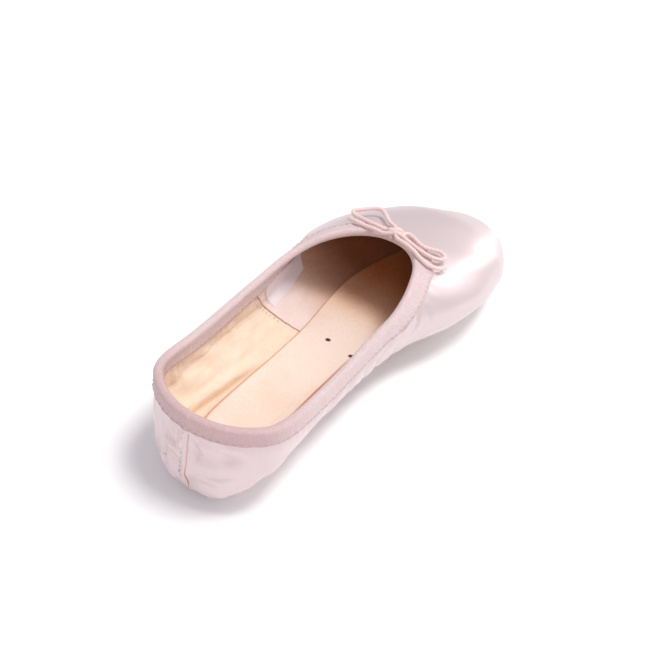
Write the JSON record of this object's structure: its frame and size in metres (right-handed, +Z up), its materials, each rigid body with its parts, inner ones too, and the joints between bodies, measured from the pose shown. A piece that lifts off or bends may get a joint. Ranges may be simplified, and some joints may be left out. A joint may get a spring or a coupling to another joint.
{
  "type": "pointe shoe",
  "caption": "A pink satin pointe shoe with a low open collar, a stiff box, a flat platform, a leather outsole and a small drawstring bow at the throat.",
  "frame": {"origin": "centre of the shoe's box, on the floor under the outsole", "axes": "+X from heel to toe, +Y to the wearer's left, +Z up"},
  "size_m": [0.2361, 0.0897, 0.0508],
  "materials": {
    "satin": "glossy pale pink satin over canvas",
    "tape": "matt woven tape",
    "leather": "natural suede-side leather",
    "board": "matt cream felted board",
    "cord": "matt braided cord"
  },
  "bodies": {
    "root": {"upper": "satin", "collar_binding": "tape", "outsole": "leather", "insole": "board", "drawstring_knot": "cord", "drawstring_loop_left": "cord", "drawstring_end_left": "cord", "drawstring_loop_right": "cord", "drawstring_end_right": "cord"}
  },
  "joints": []
}
